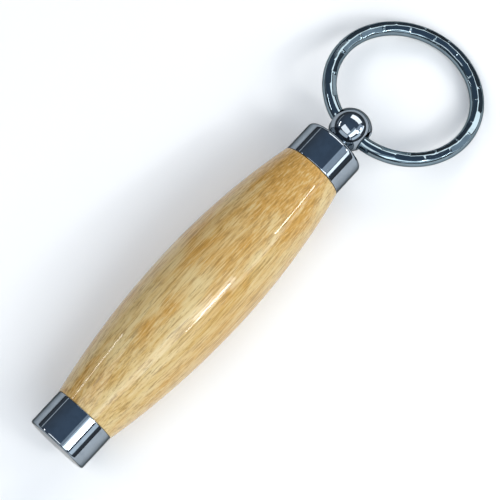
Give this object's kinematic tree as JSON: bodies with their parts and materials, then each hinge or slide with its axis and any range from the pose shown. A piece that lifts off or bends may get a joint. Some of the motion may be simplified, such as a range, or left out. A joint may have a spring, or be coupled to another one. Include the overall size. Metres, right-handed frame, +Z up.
{
  "type": "keychain",
  "caption": "Turned wooden barrel keychain: chrome end cap, screw-off chrome cap over a brass storage tube, swivelling ball and a round wire ring.",
  "frame": {"origin": "centre of the end cap's flat end face", "axes": "+X along the barrel's axis towards the ring, +Z up with the barrel lying level, +Y to its left"},
  "size_m": [0.11, 0.032, 0.0194],
  "materials": {
    "lacquered_wood": "clear gloss lacquer over pale honey-coloured wood",
    "chrome": "polished",
    "ring_chrome": "polished, with flat facets cut into the wire",
    "brass": "plain turned",
    "steel": "plain turned",
    "gasket_rubber": "matt"
  },
  "bodies": {
    "barrel": {"end_cap": "chrome", "wood_barrel": "lacquered_wood", "brass_tube": "brass", "threaded_coupler": "brass"},
    "gasket": {"cap_gasket": "gasket_rubber"},
    "cap": {"screw_cap": "chrome"},
    "swivel": {"swivel_ball": "chrome", "swivel_washer": "steel", "swivel_screw": "steel"},
    "ring": {"key_ring": "ring_chrome"}
  },
  "joints": [
    {"name": "cap_lift", "type": "slide", "parent": "barrel", "child": "gasket", "axis": [1, 0, 0], "range_m": [0, 0.003]},
    {"name": "cap_turn", "type": "hinge", "parent": "gasket", "child": "cap", "pos_m": [0.0701, 0, 0], "axis": [1, 0, 0], "range_deg": [0, 1170]},
    {"name": "ball_swivel", "type": "hinge", "parent": "cap", "child": "swivel", "pos_m": [0.0812, 0, 0], "axis": [1, 0, 0], "continuous": true},
    {"name": "ring_swing", "type": "hinge", "parent": "swivel", "child": "ring", "pos_m": [0.0812, 0, 0], "axis": [0.1392, 0.9903, 0], "range_deg": [-165, 130]}
  ],
  "couplings": [
    {"joint": "cap_lift", "follows": "cap_turn", "m_per_rad": 0.00014324}
  ]
}
